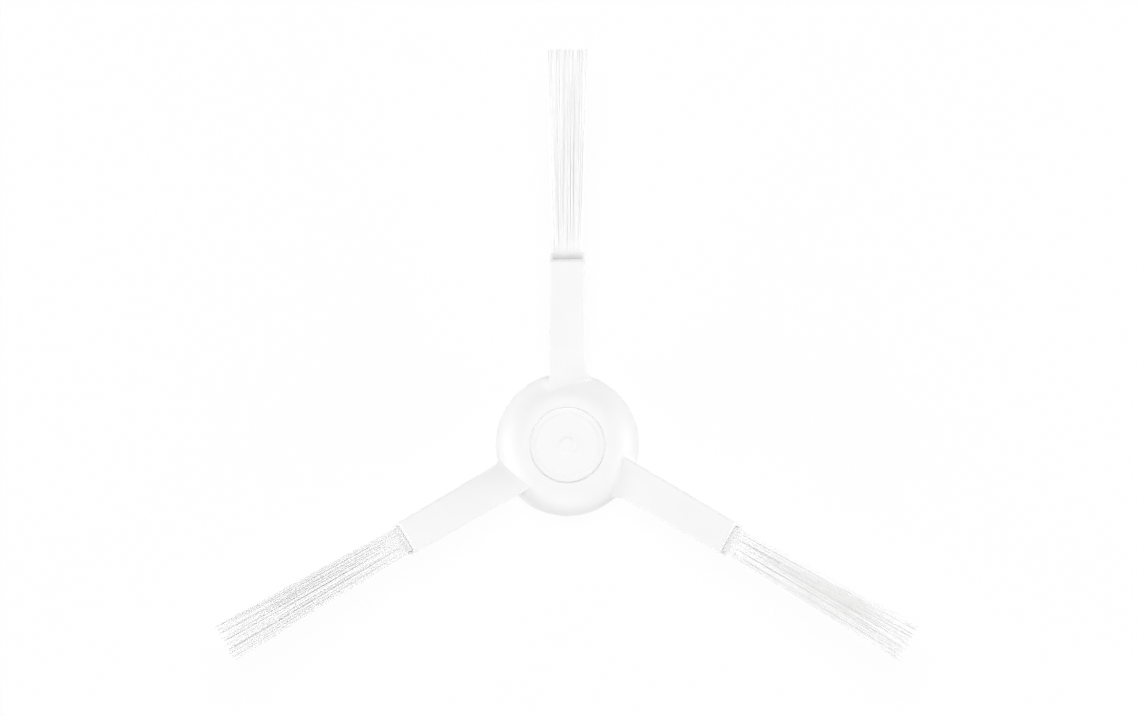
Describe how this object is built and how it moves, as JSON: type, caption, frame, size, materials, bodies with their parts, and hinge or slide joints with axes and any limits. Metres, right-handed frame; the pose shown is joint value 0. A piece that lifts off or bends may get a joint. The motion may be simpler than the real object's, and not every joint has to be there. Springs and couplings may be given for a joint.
{
  "type": "robot vacuum side brush",
  "caption": "Side brush for a robot vacuum: a domed hub with a drive socket behind and flat, drooping arms that end in tufts of straight bristles.",
  "frame": {"origin": "centre of the drive socket's mouth, on the back plane of the hub", "axes": "+Z along the spin axis, towards the side that faces the floor in use; +Y along the first arm; the arms are a third of a turn apart"},
  "size_m": [0.1512, 0.1313, 0.0242],
  "materials": {
    "soft_white": "satin soft moulding",
    "hard_white": "satin moulded plastic",
    "bristle_white": "smooth drawn filament"
  },
  "bodies": {
    "root": {"brush_body": "soft_white", "drive_core": "hard_white", "bristle_tuft_1": "bristle_white", "bristle_tuft_2": "bristle_white", "bristle_tuft_3": "bristle_white"}
  },
  "joints": []
}
